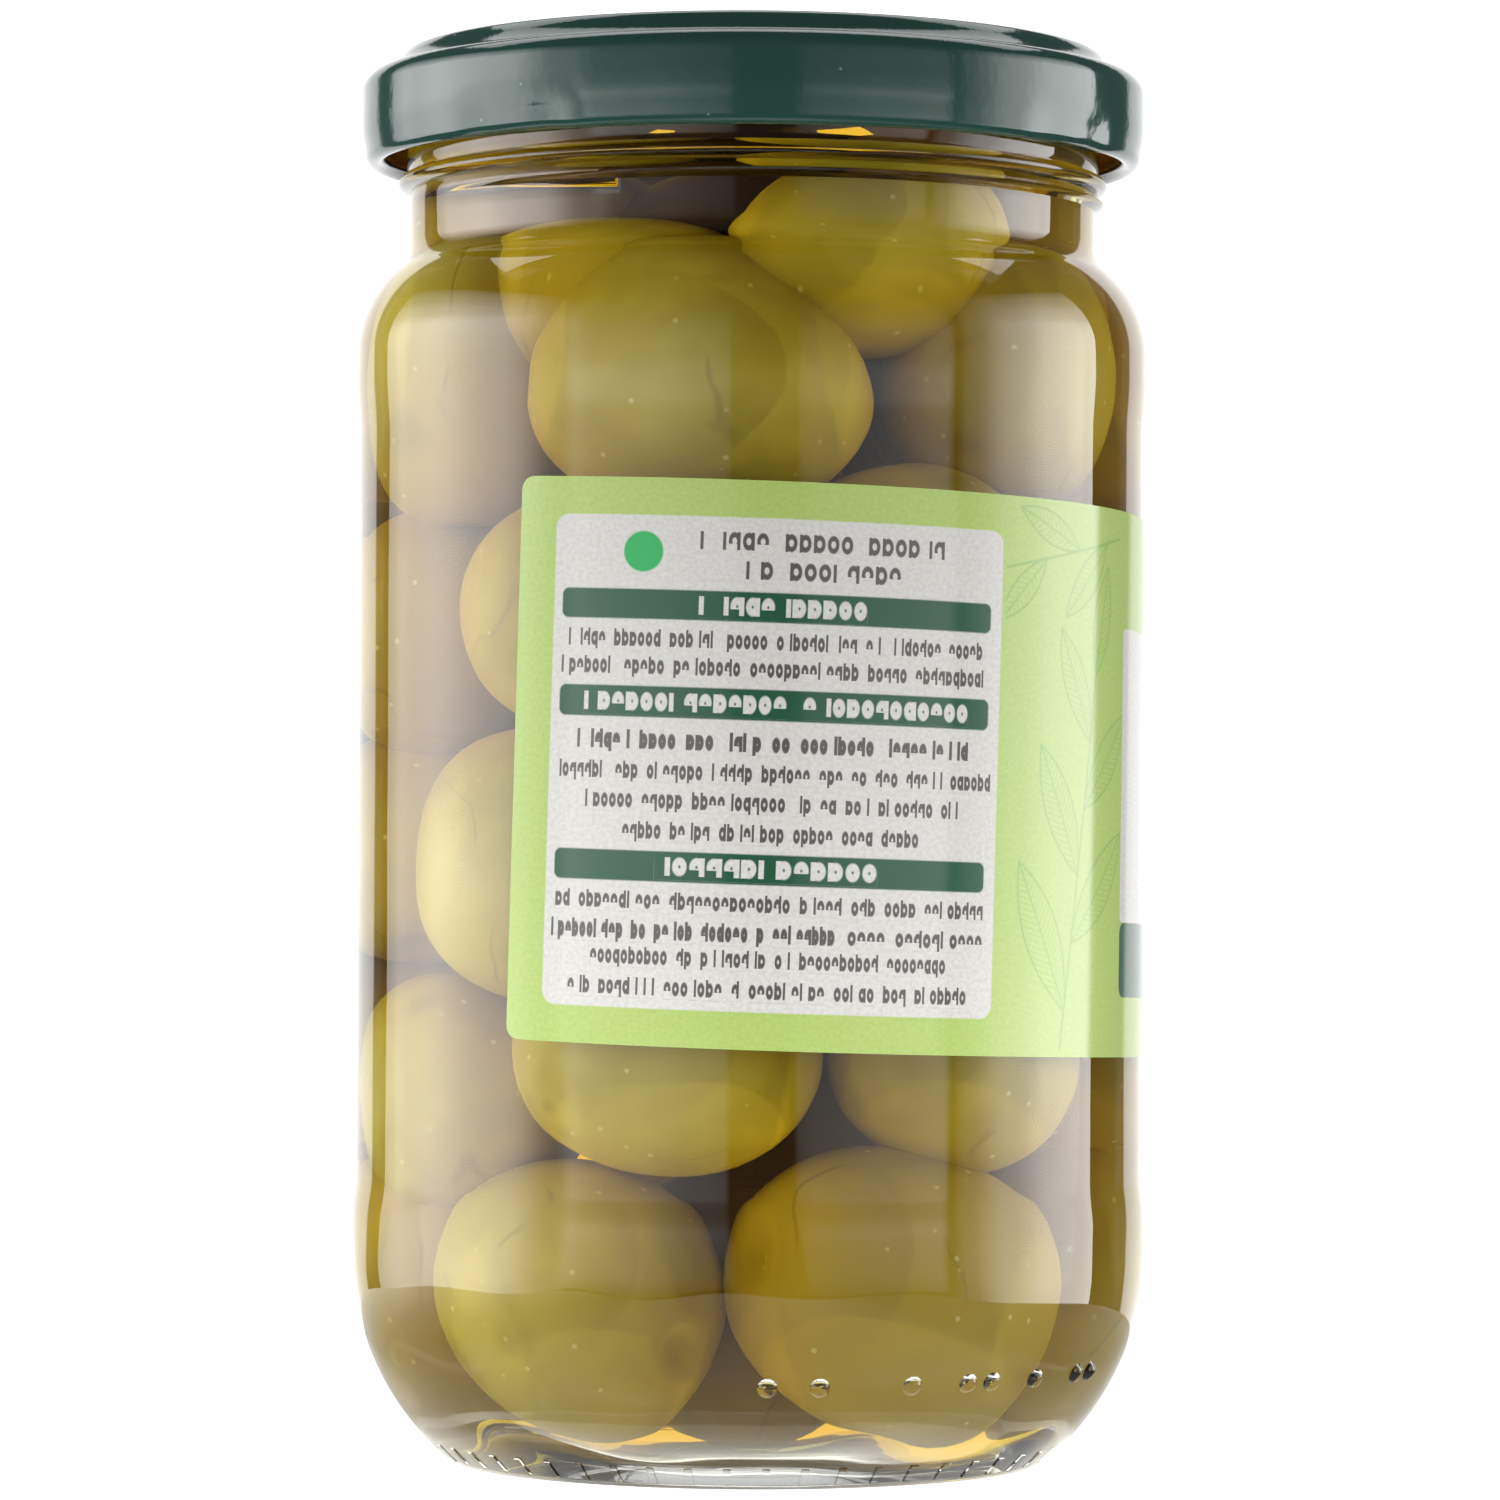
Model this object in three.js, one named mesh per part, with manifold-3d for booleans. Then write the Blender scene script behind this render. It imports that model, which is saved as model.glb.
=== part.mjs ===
// Jar of green olives in brine: a clear glass jar with a twist-off steel lid and a paper wrap label.
// Millimetres, +Z up. The origin is the centre of the ring that the jar stands on.
// Azimuths are in degrees round the jar from the front, which faces -Y, and grow towards +X.

import * as THREE from "three";
import Module from "manifold-3d";
import { mergeVertices } from "three/addons/utils/BufferGeometryUtils.js";

const wasm = await Module();
wasm.setup();

// Driving dimensions
const sides = 56; // of every turned glass and steel piece

const wall = 2.3; // glass thickness of body, shoulder and neck
const base = { ringInner: 24.8, pushUp: 3, floor: 4.4, floorCentre: 6.2 };
const heel = { radius: 24, centreRadius: 11.3, centreHeight: 18.5, insideRadius: 14 };
const panel = { radius: 34.95, bottom: 25.2, top: 91 }; // the straight wall that carries the label
const heelBulge = { radius: 35.3, top: 21.5 };
const shoulder = { radius: 35.2, bottom: 95, centreHeight: 98, arc: 10 };
const neck = { radius: 30.6, fillet: 3, inside: 28.3 };
const bead = { radius: 31.7, height: 113.3, half: 0.85 }; // closed ring below the lid
const thread = { height: 111.7, half: 0.75, rise: 1, fadeAt: 270, fadeWidth: 70 };
const finish = { radius: 30.9, rim: 121.8, rimRound: 1.1 }; // what the lid covers

const lid = {
  radius: 34.95, cornerRadius: 1.6, cornerHeight: 121.4, steel: 0.6,
  ringRadius: 30.6, ringTop: 124.95, panelTop: 123.8, buttonRadius: 14, buttonTop: 124.2,
  linerInner: 27.4, linerOuter: 32.4, linerBottom: 122,
  curlRadius: 0.9, curlAt: 33.7, curlHeight: 115.85,
};
const lugs = { count: 4, firstAt: -36, halfWidth: 12, fade: 5, reach: 0.7 };

const label = {
  inner: 35, outer: 35.2, bottom: 37.5, height: 47.5,
  startAt: -34.5, wrap: 292, slope: -0.03, steps: 60, // slope: height lost for each mm to the right
};

// Olives, each by azimuth, height of its middle, length, width and lean of its long axis from level.
// One lies deeper in than the rest, behind its neighbours.
const shownOlives = [
  { at: -41, height: 15.6, long: 23.6, wide: 22.4, lean: 20 },
  { at: 35, height: 16.9, long: 28, wide: 23.4, lean: -12 },
  { at: -76, height: 32.4, long: 22, wide: 20.5, lean: 60 },
  { at: -17.8, height: 36.8, long: 25, wide: 21.6, lean: -8 },
  { at: 46.5, height: 36.4, long: 21.4, wide: 20, lean: 35 },
  { at: -48, height: 52.8, long: 24.2, wide: 22.6, lean: 80 },
  { at: -33, height: 74.7, long: 23.4, wide: 20.6, lean: 10 },
  { at: 32, height: 77.2, long: 23, wide: 20.6, lean: -15 },
  { at: -72, height: 94.1, long: 24.4, wide: 20.8, lean: 88 },
  { at: -11.2, height: 93, long: 28, wide: 20.8, lean: -8 },
  { at: 61, height: 94.6, long: 21.4, wide: 20.2, lean: 70 },
  { at: -43, height: 100.5, long: 21, wide: 16.5, lean: 0, deeper: 4.5 },
  { at: 29.5, height: 105.6, long: 23.6, wide: 18.4, lean: -14 },
];
// The rest of each course goes round the back, evenly from one azimuth to the other.
const courses = [
  { height: 16, from: 107, to: 248, count: 3 },
  { height: 35.5, from: 109, to: 226, count: 3 },
  { height: 54.5, from: 14, to: 256, count: 5 },
  { height: 75, from: 94, to: 268, count: 4 },
  { height: 94.5, from: 123, to: 228, count: 3 },
  { height: 106.5, from: 112, to: 228, count: 2 },
];
const usual = { long: 22.6, wide: 20.6, spread: 1.2, rise: 1.6, lean: 80 };
const oliveGap = 0.7; // between an olive and the glass
const core = { radius: 22.5, bottom: 8, top: 105, round: 5, sides: 12 };

const radians = (degrees) => (degrees * Math.PI) / 180;
const point = (radius, height) => new THREE.Vector2(radius, height);

// Points on an arc, angles in degrees from straight outwards.
function arc(centreRadius, centreHeight, radius, from, to, steps) {
  return Array.from({ length: steps + 1 }, (_, i) => {
    const angle = radians(from + ((to - from) * i) / steps);
    return point(centreRadius + radius * Math.cos(angle), centreHeight + radius * Math.sin(angle));
  });
}

// Turns a profile of radius and height about the vertical axis.
function turned(profile, around = sides) {
  return new THREE.LatheGeometry(profile, around).rotateX(Math.PI / 2).deleteAttribute("uv");
}

// Moves every vertex by a rule that is given its azimuth, radius and height.
function reshape(geometry, rule) {
  const position = geometry.attributes.position;
  for (let i = 0; i < position.count; i += 1) {
    const [x, y, z] = [position.getX(i), position.getY(i), position.getZ(i)];
    const azimuth = THREE.MathUtils.radToDeg(Math.atan2(x, -y));
    const [radius, height] = rule(azimuth, Math.hypot(x, y), z);
    const turn = radians(azimuth);
    position.setXYZ(i, radius * Math.sin(turn), -radius * Math.cos(turn), height);
  }
  return geometry;
}

// Difference between two azimuths, from 0 to 180.
function apart(first, second) {
  const turn = THREE.MathUtils.euclideanModulo(first - second, 360);
  return Math.min(turn, 360 - turn);
}

function jarProfile() {
  const heelStart = THREE.MathUtils.radToDeg(Math.asin(-heel.centreHeight / heel.radius));
  const filletAt = neck.radius + neck.fillet;
  const shoulderCentre = shoulder.radius - shoulder.arc;
  // where the shoulder's arc meets the fillet below the neck
  const meeting = Math.acos((filletAt - shoulderCentre) / (shoulder.arc + neck.fillet));
  const filletHeight = shoulder.centreHeight + (shoulder.arc + neck.fillet) * Math.sin(meeting);
  const meetingAt = THREE.MathUtils.radToDeg(meeting);
  const roundOut = finish.radius - finish.rimRound;
  const roundIn = neck.inside + finish.rimRound;
  const insideHeelCentre = panel.radius - wall - heel.insideRadius;
  return [
    point(0, base.pushUp),
    point(base.ringInner * 0.7, base.pushUp * 0.7),
    point(base.ringInner, 0),
    ...arc(heel.centreRadius, heel.centreHeight, heel.radius, heelStart, 0, 7),
    point(heelBulge.radius, heelBulge.top),
    point(panel.radius, panel.bottom),
    point(panel.radius, panel.top),
    point(shoulder.radius, shoulder.bottom),
    ...arc(shoulderCentre, shoulder.centreHeight, shoulder.arc, 0, meetingAt, 4),
    ...arc(filletAt, filletHeight, neck.fillet, 180 + meetingAt, 180, 3).slice(1),
    point(neck.radius, thread.height - thread.half),
    point(neck.radius, thread.height),
    point(neck.radius, thread.height + thread.half),
    point(bead.radius, bead.height - bead.half * 0.5),
    point(bead.radius, bead.height + bead.half * 0.5),
    point(finish.radius, bead.height + bead.half),
    ...arc(roundOut, finish.rim - finish.rimRound, finish.rimRound, 0, 90, 2),
    ...arc(roundIn, finish.rim - finish.rimRound, finish.rimRound, 90, 180, 2),
    ...arc(filletAt, filletHeight, neck.fillet + wall, 180, 180 + meetingAt, 3),
    ...arc(shoulderCentre, shoulder.centreHeight, shoulder.arc - wall, meetingAt, 0, 3).slice(1),
    point(panel.radius - wall, panel.top),
    ...arc(insideHeelCentre, base.floor + heel.insideRadius, heel.insideRadius, 0, -90, 6),
    point(0, base.floorCentre),
  ];
}

// The lower thread runs round most of the neck and fades out on the left.
function jarGeometry() {
  return reshape(turned(jarProfile()), (azimuth, radius, height) => {
    const onThread = Math.abs(height - thread.height) < thread.half * 0.5 && radius > neck.inside + 1;
    const fade = Math.min(1, apart(azimuth, thread.fadeAt) / thread.fadeWidth);
    return [onThread ? radius + thread.rise * fade ** 2 : radius, height];
  });
}

function lidProfile() {
  const { radius, cornerRadius, cornerHeight, steel } = lid;
  const inside = radius - steel;
  return [
    point(0, lid.panelTop - steel),
    point(lid.linerInner, lid.panelTop - steel),
    point(lid.linerInner, lid.linerBottom),
    point(lid.linerOuter, lid.linerBottom),
    point(inside, cornerHeight),
    point(inside, lid.curlHeight + lid.curlRadius + 0.4),
    ...arc(lid.curlAt, lid.curlHeight, lid.curlRadius, 150, 360, 6),
    point(radius, lid.curlHeight + lid.curlRadius * 3),
    ...arc(radius - cornerRadius, cornerHeight, cornerRadius, 0, 90, 4),
    point(lid.ringRadius + 1.3, cornerHeight + cornerRadius + 0.5),
    point(lid.ringRadius + 0.7, lid.ringTop - 0.25),
    point(lid.ringRadius, lid.ringTop),
    point(lid.ringRadius - 0.9, lid.ringTop - 0.25),
    point(lid.ringRadius - 2.4, lid.panelTop),
    point(lid.buttonRadius + 0.6, lid.panelTop),
    point(lid.buttonRadius - 0.6, lid.buttonTop),
    point(0, lid.buttonTop),
  ];
}

// At each lug the inner half of the curl is drawn inwards, under the glass thread.
function lidGeometry() {
  const curlTop = lid.curlHeight + lid.curlRadius;
  return reshape(turned(lidProfile()), (azimuth, radius, height) => {
    const places = Array.from({ length: lugs.count }, (_, i) => lugs.firstAt + (360 / lugs.count) * i);
    const nearest = Math.min(...places.map((place) => apart(azimuth, place)));
    const strength = THREE.MathUtils.clamp((lugs.halfWidth - nearest) / lugs.fade, 0, 1);
    const onLug = height < curlTop && radius < lid.curlAt - 0.1;
    return [onLug ? radius - lugs.reach * strength : radius, height];
  });
}

// A flat strip bent round the jar. It climbs to the left, as it was stuck on slightly askew.
function labelGeometry() {
  const thickness = label.outer - label.inner;
  const strip = new THREE.BoxGeometry(label.wrap, label.height, thickness, label.steps, 1, 1);
  const position = strip.attributes.position;
  for (let i = 0; i < position.count; i += 1) {
    const azimuth = radians(label.startAt + label.wrap / 2 + position.getX(i));
    const radius = label.inner + thickness / 2 + position.getZ(i);
    const up = position.getY(i);
    const turn = azimuth - (label.slope * up) / label.inner;
    const height = label.bottom + label.height / 2 + up + label.slope * label.inner * azimuth;
    position.setXYZ(i, radius * Math.sin(turn), -radius * Math.cos(turn), height);
  }
  return strip;
}

// Radius of the glass inside the jar at a height.
function insideRadius(height) {
  const heelTop = base.floor + heel.insideRadius;
  if (height < heelTop) {
    const drop = heelTop - height;
    return panel.radius - wall - heel.insideRadius + Math.sqrt(heel.insideRadius ** 2 - drop ** 2);
  }
  if (height < shoulder.centreHeight) return panel.radius - wall;
  const climb = Math.min(height - shoulder.centreHeight, shoulder.arc - wall);
  const onArc = shoulder.radius - shoulder.arc + Math.sqrt((shoulder.arc - wall) ** 2 - climb ** 2);
  return Math.max(onArc, neck.inside);
}

// A number from -1 to 1 that differs for each olive and is the same on every run.
function uneven(seed) {
  const wave = Math.sin(seed * 12.9898) * 43758.5453;
  return 2 * (wave - Math.floor(wave)) - 1;
}

function allOlives() {
  const olives = [...shownOlives];
  for (const { height, from, to, count } of courses) {
    for (let i = 0; i < count; i += 1) {
      const seed = olives.length;
      olives.push({
        at: from + ((to - from) * i) / (count - 1),
        height: height + usual.rise * uneven(seed),
        long: usual.long + usual.spread * uneven(seed + 40),
        wide: usual.wide + usual.spread * 0.6 * uneven(seed + 80),
        lean: usual.lean * uneven(seed + 120),
      });
    }
  }
  return olives;
}

// An olive lies along the wall, as far out as the glass lets it, and no lower than the glass floor.
function oliveGeometry({ at, height, long, wide, lean, deeper = 0 }) {
  const tilt = radians(lean);
  const reachDown = Math.hypot((long / 2) * Math.sin(tilt), (wide / 2) * Math.cos(tilt));
  const middle = Math.max(height, base.floor + oliveGap + reachDown);
  const olive = new THREE.SphereGeometry(1, 9, 6)
    .rotateZ(Math.PI / 2)
    .scale(long / 2, wide / 2, wide / 2)
    .rotateY(-tilt);
  const position = olive.attributes.position;
  const distances = Array.from({ length: position.count }, (_, i) => {
    const glass = insideRadius(middle + position.getZ(i)) - oliveGap;
    return Math.sqrt(glass ** 2 - position.getX(i) ** 2) + position.getY(i);
  });
  return olive.translate(0, deeper - Math.min(...distances), middle).rotateZ(radians(at));
}

function coreGeometry() {
  const { radius, bottom, top, round, sides: around } = core;
  return turned([
    point(0, bottom),
    ...arc(radius - round, bottom + round, round, -90, 0, 2),
    ...arc(radius - round, top - round, round, 0, 90, 2),
    point(0, top),
  ], around);
}

function solidOf(geometry) {
  geometry.deleteAttribute("normal");
  geometry.deleteAttribute("uv");
  const merged = mergeVertices(geometry, 1e-4);
  const vertProperties = new Float32Array(merged.attributes.position.array);
  const triVerts = new Uint32Array(merged.index.array);
  return new wasm.Manifold(new wasm.Mesh({ numProp: 3, vertProperties, triVerts }));
}

function geometryOf(solid) {
  const { vertProperties, triVerts } = solid.getMesh();
  const geometry = new THREE.BufferGeometry();
  geometry.setAttribute("position", new THREE.BufferAttribute(vertProperties, 3));
  geometry.setIndex(new THREE.BufferAttribute(triVerts, 1));
  geometry.computeVertexNormals();
  return geometry;
}

function heapGeometry() {
  const heap = allOlives().reduce(
    (joined, olive) => joined.add(solidOf(oliveGeometry(olive))),
    solidOf(coreGeometry()),
  );
  return geometryOf(heap);
}

function piece(name, geometry, look) {
  const mesh = new THREE.Mesh(geometry, new THREE.MeshStandardMaterial(look));
  mesh.name = name;
  return mesh;
}

const clearGlass = { color: 0xdde6dc, roughness: 0.03, metalness: 0, transparent: true, opacity: 0.3 };
const lidGreen = { color: 0x1f463d, roughness: 0.25, metalness: 0.1 };
const labelPaper = { color: 0xacc878, roughness: 0.6, metalness: 0 };
const oliveSkin = { color: 0x9c9148, roughness: 0.4, metalness: 0 };

const jarOfOlives = new THREE.Group();
jarOfOlives.add(
  piece("glass_jar", jarGeometry(), clearGlass),
  piece("lid", lidGeometry(), lidGreen),
  piece("label", labelGeometry(), labelPaper),
  piece("olives", heapGeometry(), oliveSkin),
);

export default jarOfOlives;
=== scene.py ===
import math
import bpy
from mathutils import Matrix, Vector


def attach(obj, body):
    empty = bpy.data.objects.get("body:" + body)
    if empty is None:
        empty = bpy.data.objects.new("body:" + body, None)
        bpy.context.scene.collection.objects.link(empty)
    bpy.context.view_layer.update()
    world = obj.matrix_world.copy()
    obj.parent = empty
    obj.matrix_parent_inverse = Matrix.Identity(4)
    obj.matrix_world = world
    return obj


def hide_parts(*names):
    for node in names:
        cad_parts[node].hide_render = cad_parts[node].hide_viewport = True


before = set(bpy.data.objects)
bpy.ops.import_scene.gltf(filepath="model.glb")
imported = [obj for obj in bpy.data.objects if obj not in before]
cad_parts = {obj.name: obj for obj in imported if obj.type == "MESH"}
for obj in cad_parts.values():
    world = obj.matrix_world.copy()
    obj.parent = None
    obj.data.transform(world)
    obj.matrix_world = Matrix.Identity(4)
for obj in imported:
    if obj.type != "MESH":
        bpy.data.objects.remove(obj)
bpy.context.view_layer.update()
mm = 0.001


# Small helpers for modelling by hand

def deselectAll():
    if bpy.context.object and bpy.context.object.mode != 'OBJECT':
        bpy.ops.object.mode_set(mode='OBJECT')
    bpy.ops.object.select_all(action='DESELECT')


def pick(*pieces):
    deselectAll()
    for piece in pieces:
        piece.select_set(True)
    bpy.context.view_layer.objects.active = pieces[0]


def editMode(on=True):
    bpy.ops.object.mode_set(mode='EDIT' if on else 'OBJECT')


def applyAll(piece):
    pick(piece)
    for modifier in list(piece.modifiers):
        bpy.ops.object.modifier_apply(modifier=modifier.name)


def smooth(piece, degrees=40):
    pick(piece)
    bpy.ops.object.shade_smooth_by_angle(angle=math.radians(degrees))


def ball(segments, rings, radius, place):
    deselectAll()
    bpy.ops.mesh.primitive_uv_sphere_add(segments=segments, ring_count=rings, radius=radius, location=place)
    return bpy.context.object


def joined(name, pieces):
    pick(*pieces)
    bpy.ops.object.join()
    piece = bpy.context.object
    piece.name = piece.data.name = name
    return piece


def outward(face):
    # below 0 where the face looks towards the jar's axis
    return face.normal.x * face.center.x + face.normal.y * face.center.y


def drawIn(vertex, share):
    vertex.co.x *= share
    vertex.co.y *= share


def selectFaces(piece, wanted):
    # wanted is asked with each face's middle, in metres
    editMode(False)
    mesh = piece.data
    for vertex in mesh.vertices:
        vertex.select = False
    for edge in mesh.edges:
        edge.select = False
    for face in mesh.polygons:
        face.select = bool(wanted(face.center))
    editMode(True)
    bpy.ops.mesh.select_mode(type='FACE')


def azimuthOf(place):
    return math.degrees(math.atan2(place.x, -place.y))


def apart(first, second):
    turn = (first - second) % 360
    return min(turn, 360 - turn)


def around(azimuth, radius, height):
    turn = math.radians(azimuth)
    return Vector((radius * math.sin(turn), -radius * math.cos(turn), height)) * mm


def arc(centreRadius, centreHeight, radius, start, end, steps):
    turns = [math.radians(start + (end - start) * i / steps) for i in range(steps + 1)]
    return [(centreRadius + radius * math.cos(t), centreHeight + radius * math.sin(t)) for t in turns]


def spunPiece(name, profile, steps):
    # a single point is drawn out along the profile, which is then spun about the jar's axis
    deselectAll()
    first = around(0, *profile[0])
    bpy.ops.mesh.primitive_plane_add(size=mm, location=(0, 0, 0))
    piece = bpy.context.object
    piece.name = piece.data.name = name
    editMode()
    bpy.ops.mesh.select_mode(type='VERT')
    bpy.ops.mesh.merge(type='CENTER')
    bpy.ops.transform.translate(value=first)
    for here, there in zip(profile, profile[1:]):
        step = around(0, *there) - around(0, *here)
        bpy.ops.mesh.extrude_region_move(TRANSFORM_OT_translate={"value": step})
    bpy.ops.mesh.select_all(action='SELECT')
    bpy.ops.mesh.spin(steps=steps, angle=2 * math.pi, center=(0, 0, 0), axis=(0, 0, 1))
    bpy.ops.mesh.select_all(action='SELECT')
    bpy.ops.mesh.remove_doubles(threshold=0.004 * mm)
    bpy.ops.mesh.normals_make_consistent(inside=False)
    editMode(False)
    return piece


def finishPiece(piece, slot, *nodes):
    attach(piece, "root")
    for node in nodes:
        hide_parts(node)


# Small helpers for materials

def newMaterial(name):
    material = bpy.data.materials.new(name)
    material.use_nodes = True
    tree = material.node_tree
    tree.nodes.clear()
    output = tree.nodes.new('ShaderNodeOutputMaterial')
    return material, tree, output


def wire(tree, target, source):
    # a socket is linked, and a plain value is set
    if isinstance(source, bpy.types.NodeSocket):
        tree.links.new(source, target)
    else:
        target.default_value = source


def shaderNode(tree, kind, settings=None, **sockets):
    node = tree.nodes.new(kind)
    for key, value in (settings or {}).items():
        setattr(node, key, value)
    for key, value in sockets.items():
        wire(tree, node.inputs[key.replace('_', ' ')], value)
    return node


def maths(tree, operation, first, second=0.0, third=0.0):
    node = tree.nodes.new('ShaderNodeMath')
    node.operation = operation
    for socket, value in zip(node.inputs, (first, second, third)):
        wire(tree, socket, value)
    return node.outputs[0]


def vectorMaths(tree, operation, *values):
    node = tree.nodes.new('ShaderNodeVectorMath')
    node.operation = operation
    for socket, value in zip(node.inputs, values):
        wire(tree, socket, value)
    return node.outputs['Value' if operation == 'LENGTH' else 'Vector']


def awayFrom(tree, value, middle):
    return maths(tree, 'ABSOLUTE', maths(tree, 'SUBTRACT', value, middle))


def mixColours(tree, share, first, second):
    node = tree.nodes.new('ShaderNodeMix')
    node.data_type = 'RGBA'
    wire(tree, node.inputs[0], share)
    wire(tree, node.inputs[6], first)
    wire(tree, node.inputs[7], second)
    return node.outputs[2]


def ramp(tree, value, low, high, floor=0.0, ceiling=1.0):
    # eased from floor at low to ceiling at high
    node = tree.nodes.new('ShaderNodeMapRange')
    node.interpolation_type = 'SMOOTHSTEP'
    for socket, number in zip(node.inputs, (value, low, high, floor, ceiling)):
        wire(tree, socket, number)
    return node.outputs[0]


def noise(tree, place, scale, detail=2.0, rough=0.5):
    return shaderNode(tree, 'ShaderNodeTexNoise', Vector=place, Scale=scale, Detail=detail,
                      Roughness=rough).outputs[0]


def objectPlace(tree):
    return shaderNode(tree, 'ShaderNodeTexCoord').outputs['Object']


def split(tree, place):
    return shaderNode(tree, 'ShaderNodeSeparateXYZ', Vector=place).outputs


def bumped(tree, strength, distance, height):
    node = shaderNode(tree, 'ShaderNodeBump', Strength=strength, Distance=distance, Height=height)
    return node.outputs[0]


def isRay(tree, kind):
    return shaderNode(tree, 'ShaderNodeLightPath').outputs[f'Is {kind} Ray']


def opaque(tree, output, **sockets):
    surface = shaderNode(tree, 'ShaderNodeBsdfPrincipled', **sockets)
    wire(tree, output.inputs['Surface'], surface.outputs[0])
    return surface


def seeThrough(tree, output, tint, **sockets):
    # shadows go straight through, a little tinted
    surface = shaderNode(tree, 'ShaderNodeBsdfPrincipled', Transmission_Weight=1.0, Roughness=0.0, **sockets)
    clear = shaderNode(tree, 'ShaderNodeBsdfTransparent', Color=tint)
    mix = shaderNode(tree, 'ShaderNodeMixShader', Fac=isRay(tree, 'Shadow'))
    wire(tree, mix.inputs[1], surface.outputs[0])
    wire(tree, mix.inputs[2], clear.outputs[0])
    wire(tree, output.inputs['Surface'], mix.outputs[0])


def colour(red, green, blue):
    # sRGB out of 255 to linear
    def linear(value):
        value /= 255
        return value / 12.92 if value <= 0.04045 else ((value + 0.055) / 1.055) ** 2.4
    return (linear(red), linear(green), linear(blue), 1.0)


# Camera: long lens a little below half the jar's height, tipped up and turned very slightly
cameraSet = {"away": 518.9, "height": 55.0, "up": 0.887, "turn": 0.287, "lens": 139.31}


def makeCamera(values):
    cameraData = bpy.data.cameras.new("camera")
    cameraData.lens = values["lens"]
    cameraData.sensor_width = 36
    cameraData.clip_start = 0.01
    camera = bpy.data.objects.new("camera", cameraData)
    bpy.context.scene.collection.objects.link(camera)
    tip = Matrix.Rotation(math.radians(90 + values["up"]), 4, 'X')
    roll = Matrix.Rotation(math.radians(values["turn"]), 4, 'Z')
    place = Matrix.Translation((0, -values["away"] * mm, values["height"] * mm))
    camera.matrix_world = place @ tip @ roll
    bpy.context.scene.camera = camera


makeCamera(cameraSet)
print("camera done")

# Studio: round lit table, white wall behind, a softbox at each side, low dim panels beside the camera
# each lamp: azimuth of the middle, distance, width, bottom, height, then stops of brightness across and up
studioSet = {
    # the table gives light in the middle, at the left side and under the jar's base
    "tableRadius": 0.107, "tableGlow": 0.6, "sideGlow": 1.3, "underGlow": 1.3, "underRadius": 0.028,
    "middleFrom": 0.025, "middleTo": 0.055, "sideFrom": 0.062, "sideShift": 0.026, "tableShown": 1.2,
    # the wall, as bright as it lights the jar and as the camera sees it
    "behind": 1.5, "around": 0.1, "shown": 1.05, "wallFrom": 0.785, "wallTo": 0.805,
    "lamps": {
        "softboxLeft": (-87.2, 0.62, 1.120, -0.14, 0.64,
                        ((0, 2.0), (0.19, 3.9), (0.4, 6.2), (0.62, 5.6), (0.82, 1.7), (1, 0)),
                        ((0, 0.84), (0.4, 0.88), (0.52, 1.0), (0.58, 1.0), (0.72, 0.6), (0.88, 0.3),
                         (1, 0.1))),
        "softboxRight": (87.2, 0.62, 0.67, -0.14, 0.64,
                         ((0, 0), (0.12, 0.9), (0.38, 3.6), (0.62, 5.7), (1, 5.2)),
                         ((0, 1.0), (0.56, 1.0), (0.72, 0.6), (0.88, 0.3), (1, 0.1))),
        "panelLeft": (-30.5, 0.75, 0.715, -0.14, 0.75,
                      ((0, 0), (0.14, 2.6), (0.5, 1.9), (0.84, 1.1), (0.96, 0.8), (1, 0)),
                      ((0, 0.3), (0.16, 0.8), (0.28, 1.0), (0.36, 0.6), (0.42, 0.42), (0.5, 0.25),
                       (0.7, 0.12), (1, 0))),
        "panelRight": (36.0, 0.75, 0.66, -0.14, 0.75,
                       ((0, 0), (0.05, 0.7), (0.15, 1.0), (0.6, 1.6), (0.92, 2.1), (1, 0)),
                       ((0, 0.3), (0.16, 0.7), (0.28, 1.0), (0.36, 0.6), (0.42, 0.42), (0.5, 0.25),
                        (0.7, 0.12), (1, 0))),
    },
    "top": {"place": (0, 0.42, 0.75), "size": (1.0, 0.7), "tilt": 25, "bright": 2.5},
    # soft fill from the camera's side, and light thrown up by the table in front of the jar and under its
    # base: place, size, brightness; none of them shows in a reflection
    "fill": {"azimuth": 6, "away": 0.9, "size": (1.3, 0.9), "middle": 0.25, "bright": 1.4},
    "uplights": (((0.01, -0.08, 0.001), (0.24, 0.09), 3.2), ((0, 0, 0.001), (0.036, 0.036), 7.0)),
}


def brightness(tree, value, stops):
    peak = max(level for share, level in stops)
    node = tree.nodes.new('ShaderNodeValToRGB')
    node.color_ramp.interpolation = 'EASE'
    wire(tree, node.inputs[0], value)
    elements = node.color_ramp.elements
    for share, level in stops[1:-1]:
        elements.new(share)
    for element, (share, level) in zip(elements, stops):
        element.position = share
        element.color = (level / peak, level / peak, level / peak, 1)
    return maths(tree, 'MULTIPLY', node.outputs[0], peak)


def areaLamp(name, width, height, across, up):
    light = bpy.data.lights.new(name, 'AREA')
    light.shape = 'RECTANGLE'
    light.size = width
    light.size_y = height
    light.energy = math.pi * width * height
    light.use_nodes = True
    tree = light.node_tree
    emission = next(node for node in tree.nodes if node.type == 'EMISSION')
    sheet = shaderNode(tree, 'ShaderNodeNewGeometry').outputs['Parametric']
    parts = split(tree, sheet)
    level = maths(tree, 'MULTIPLY', brightness(tree, parts[0], across), brightness(tree, parts[1], up))
    wire(tree, emission.inputs['Strength'], level)
    lamp = bpy.data.objects.new(name, light)
    bpy.context.scene.collection.objects.link(lamp)
    return lamp


def evenLamp(name, size, bright, place, turn):
    lamp = areaLamp(name, *size, ((0, bright), (1, bright)), ((0, 1), (1, 1)))
    lamp.location = place
    lamp.rotation_euler = turn
    return lamp


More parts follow.
